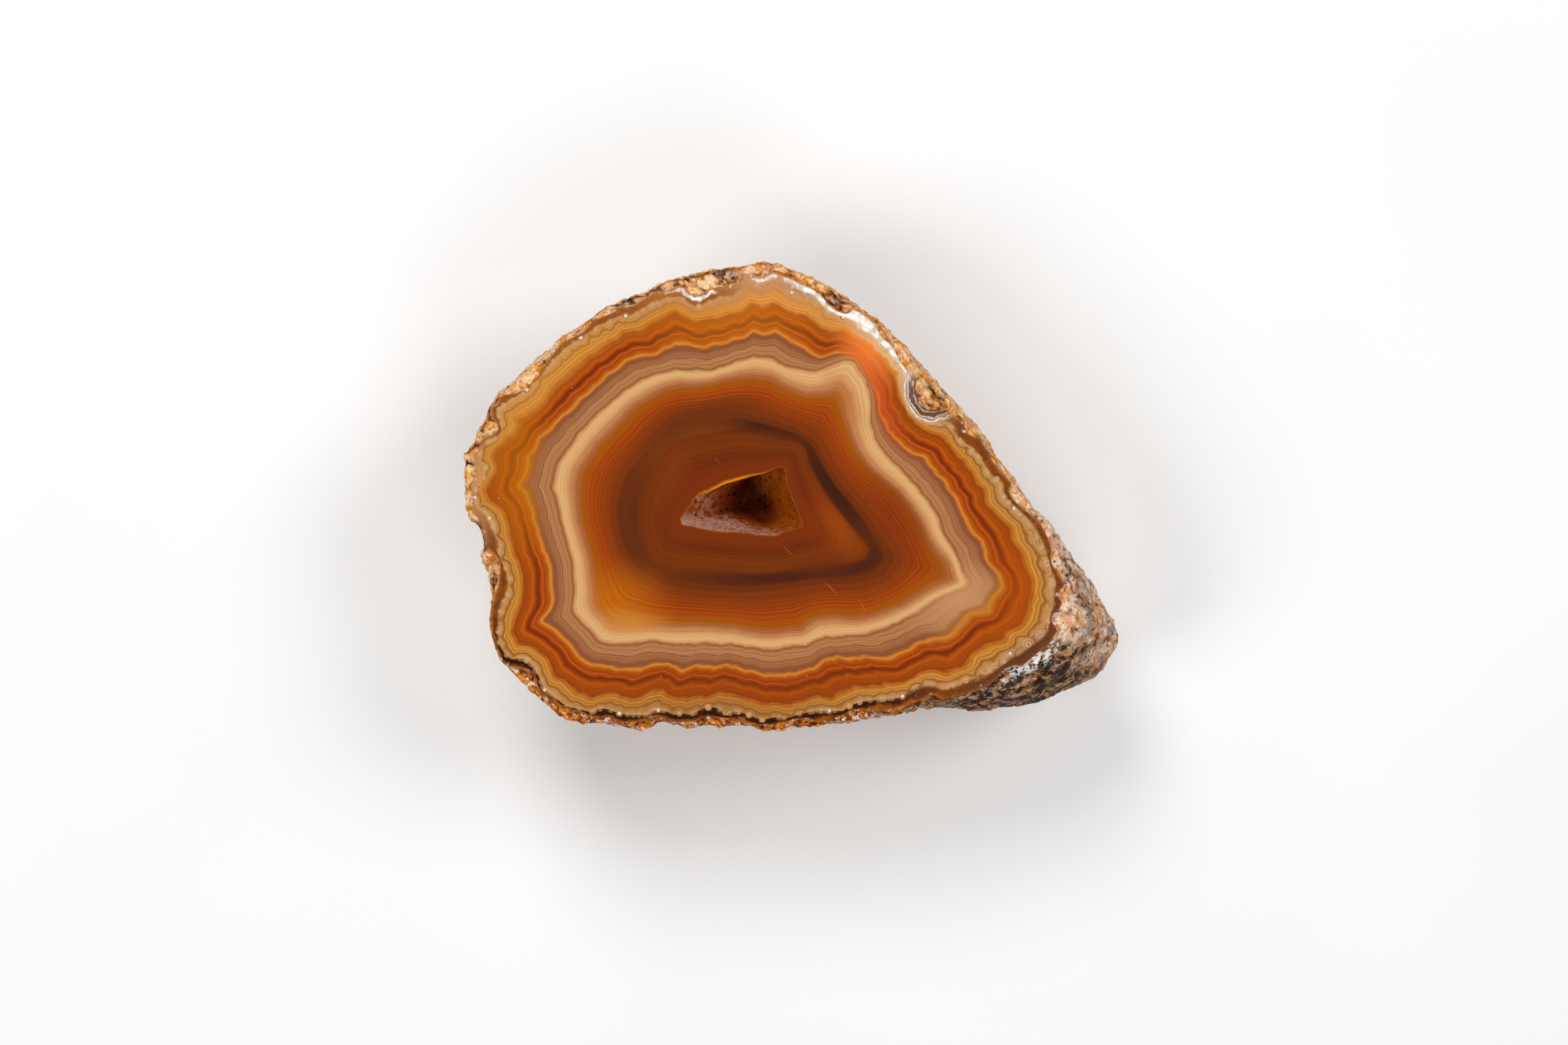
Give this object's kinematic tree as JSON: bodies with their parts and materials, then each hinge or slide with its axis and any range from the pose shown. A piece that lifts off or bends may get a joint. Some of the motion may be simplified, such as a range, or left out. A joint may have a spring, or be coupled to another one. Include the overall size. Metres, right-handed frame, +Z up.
{
  "type": "coyamito agate",
  "caption": "Half of a natural agate nodule with a polished banded face, a small central hollow and a rough rind, resting on a small flat spot.",
  "frame": {"origin": "middle of the stone's footprint box, at the height of the flat spot it rests on", "axes": "+Z up, square to the polished face; +X along the face's long side, towards the rind's flared shoulder; +Y towards the face's rounded crest"},
  "size_m": [0.0849, 0.0602, 0.03],
  "materials": {
    "agate": "polished banded face, rough granular rind"
  },
  "bodies": {
    "root": {"agate_nodule": "agate"}
  },
  "joints": []
}
